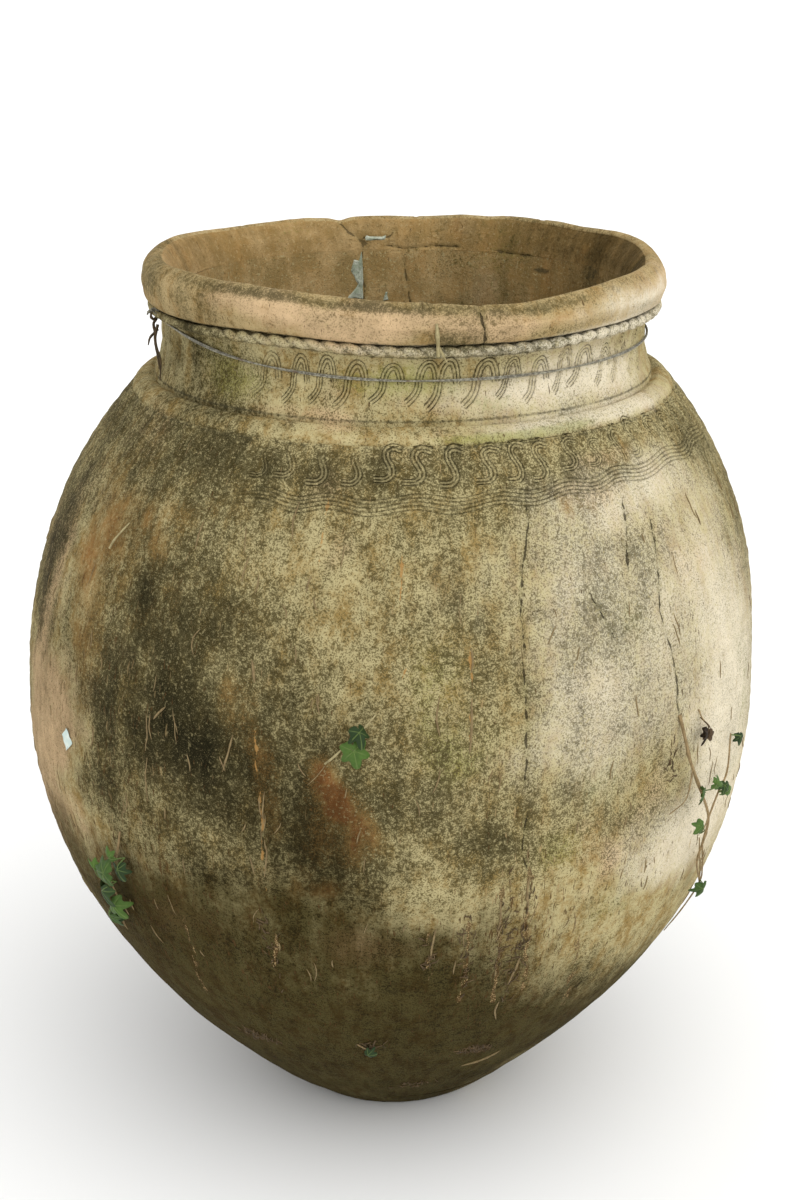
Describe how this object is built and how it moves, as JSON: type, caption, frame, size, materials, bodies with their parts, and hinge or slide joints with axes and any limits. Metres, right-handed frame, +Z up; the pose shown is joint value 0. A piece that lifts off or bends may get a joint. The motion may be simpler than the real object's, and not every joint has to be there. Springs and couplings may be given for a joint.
{
  "type": "large terracotta storage jar",
  "caption": "Very large egg-shaped terracotta oil jar with a rolled rim, rope moulding, combed neck, tie wire and caught ivy; no handles, stands on a flat foot.",
  "frame": {"origin": "centre of the flat underside of the foot, on the ground", "axes": "+Z up along the jar's axis; -Y is the front, +X the right-hand side seen from the front"},
  "size_m": [0.995, 1.0183, 1.2],
  "materials": {
    "terracotta": "matte, weathered, lichen-specked fired clay",
    "terracotta_rim": "matte, worn, pinkish fired clay",
    "wire": "dull grey oxidised",
    "mortar": "rough lime mortar",
    "label_paper": "matte, faded",
    "leaf": "satin leaf",
    "dead_leaf": "dry, matte",
    "dry_stem": "dry bark"
  },
  "bodies": {
    "root": {"foot_slab": "terracotta", "lower_wall": "terracotta", "belly_wall": "terracotta", "shoulder_wall": "terracotta", "neck": "terracotta", "neck_ridge": "terracotta", "rope_moulding": "terracotta", "rim": "terracotta_rim", "tie_wire": "wire", "crack_filler_tall": "mortar", "crack_filler_patch": "mortar", "crack_filler_slot": "mortar", "paper_label": "label_paper", "ivy_stem_left": "dry_stem", "ivy_leaves_left": "leaf", "ivy_stem_centre": "dry_stem", "ivy_leaves_centre": "leaf", "ivy_stem_right": "dry_stem", "ivy_leaves_right": "leaf", "dead_leaf_stub": "dry_stem", "dead_leaves_right": "dead_leaf", "ivy_stem_base": "dry_stem", "ivy_leaf_base": "leaf", "shoulder_twig": "dry_stem", "rim_splinter": "dry_stem", "neck_dry_stem": "dry_stem"}
  },
  "joints": []
}
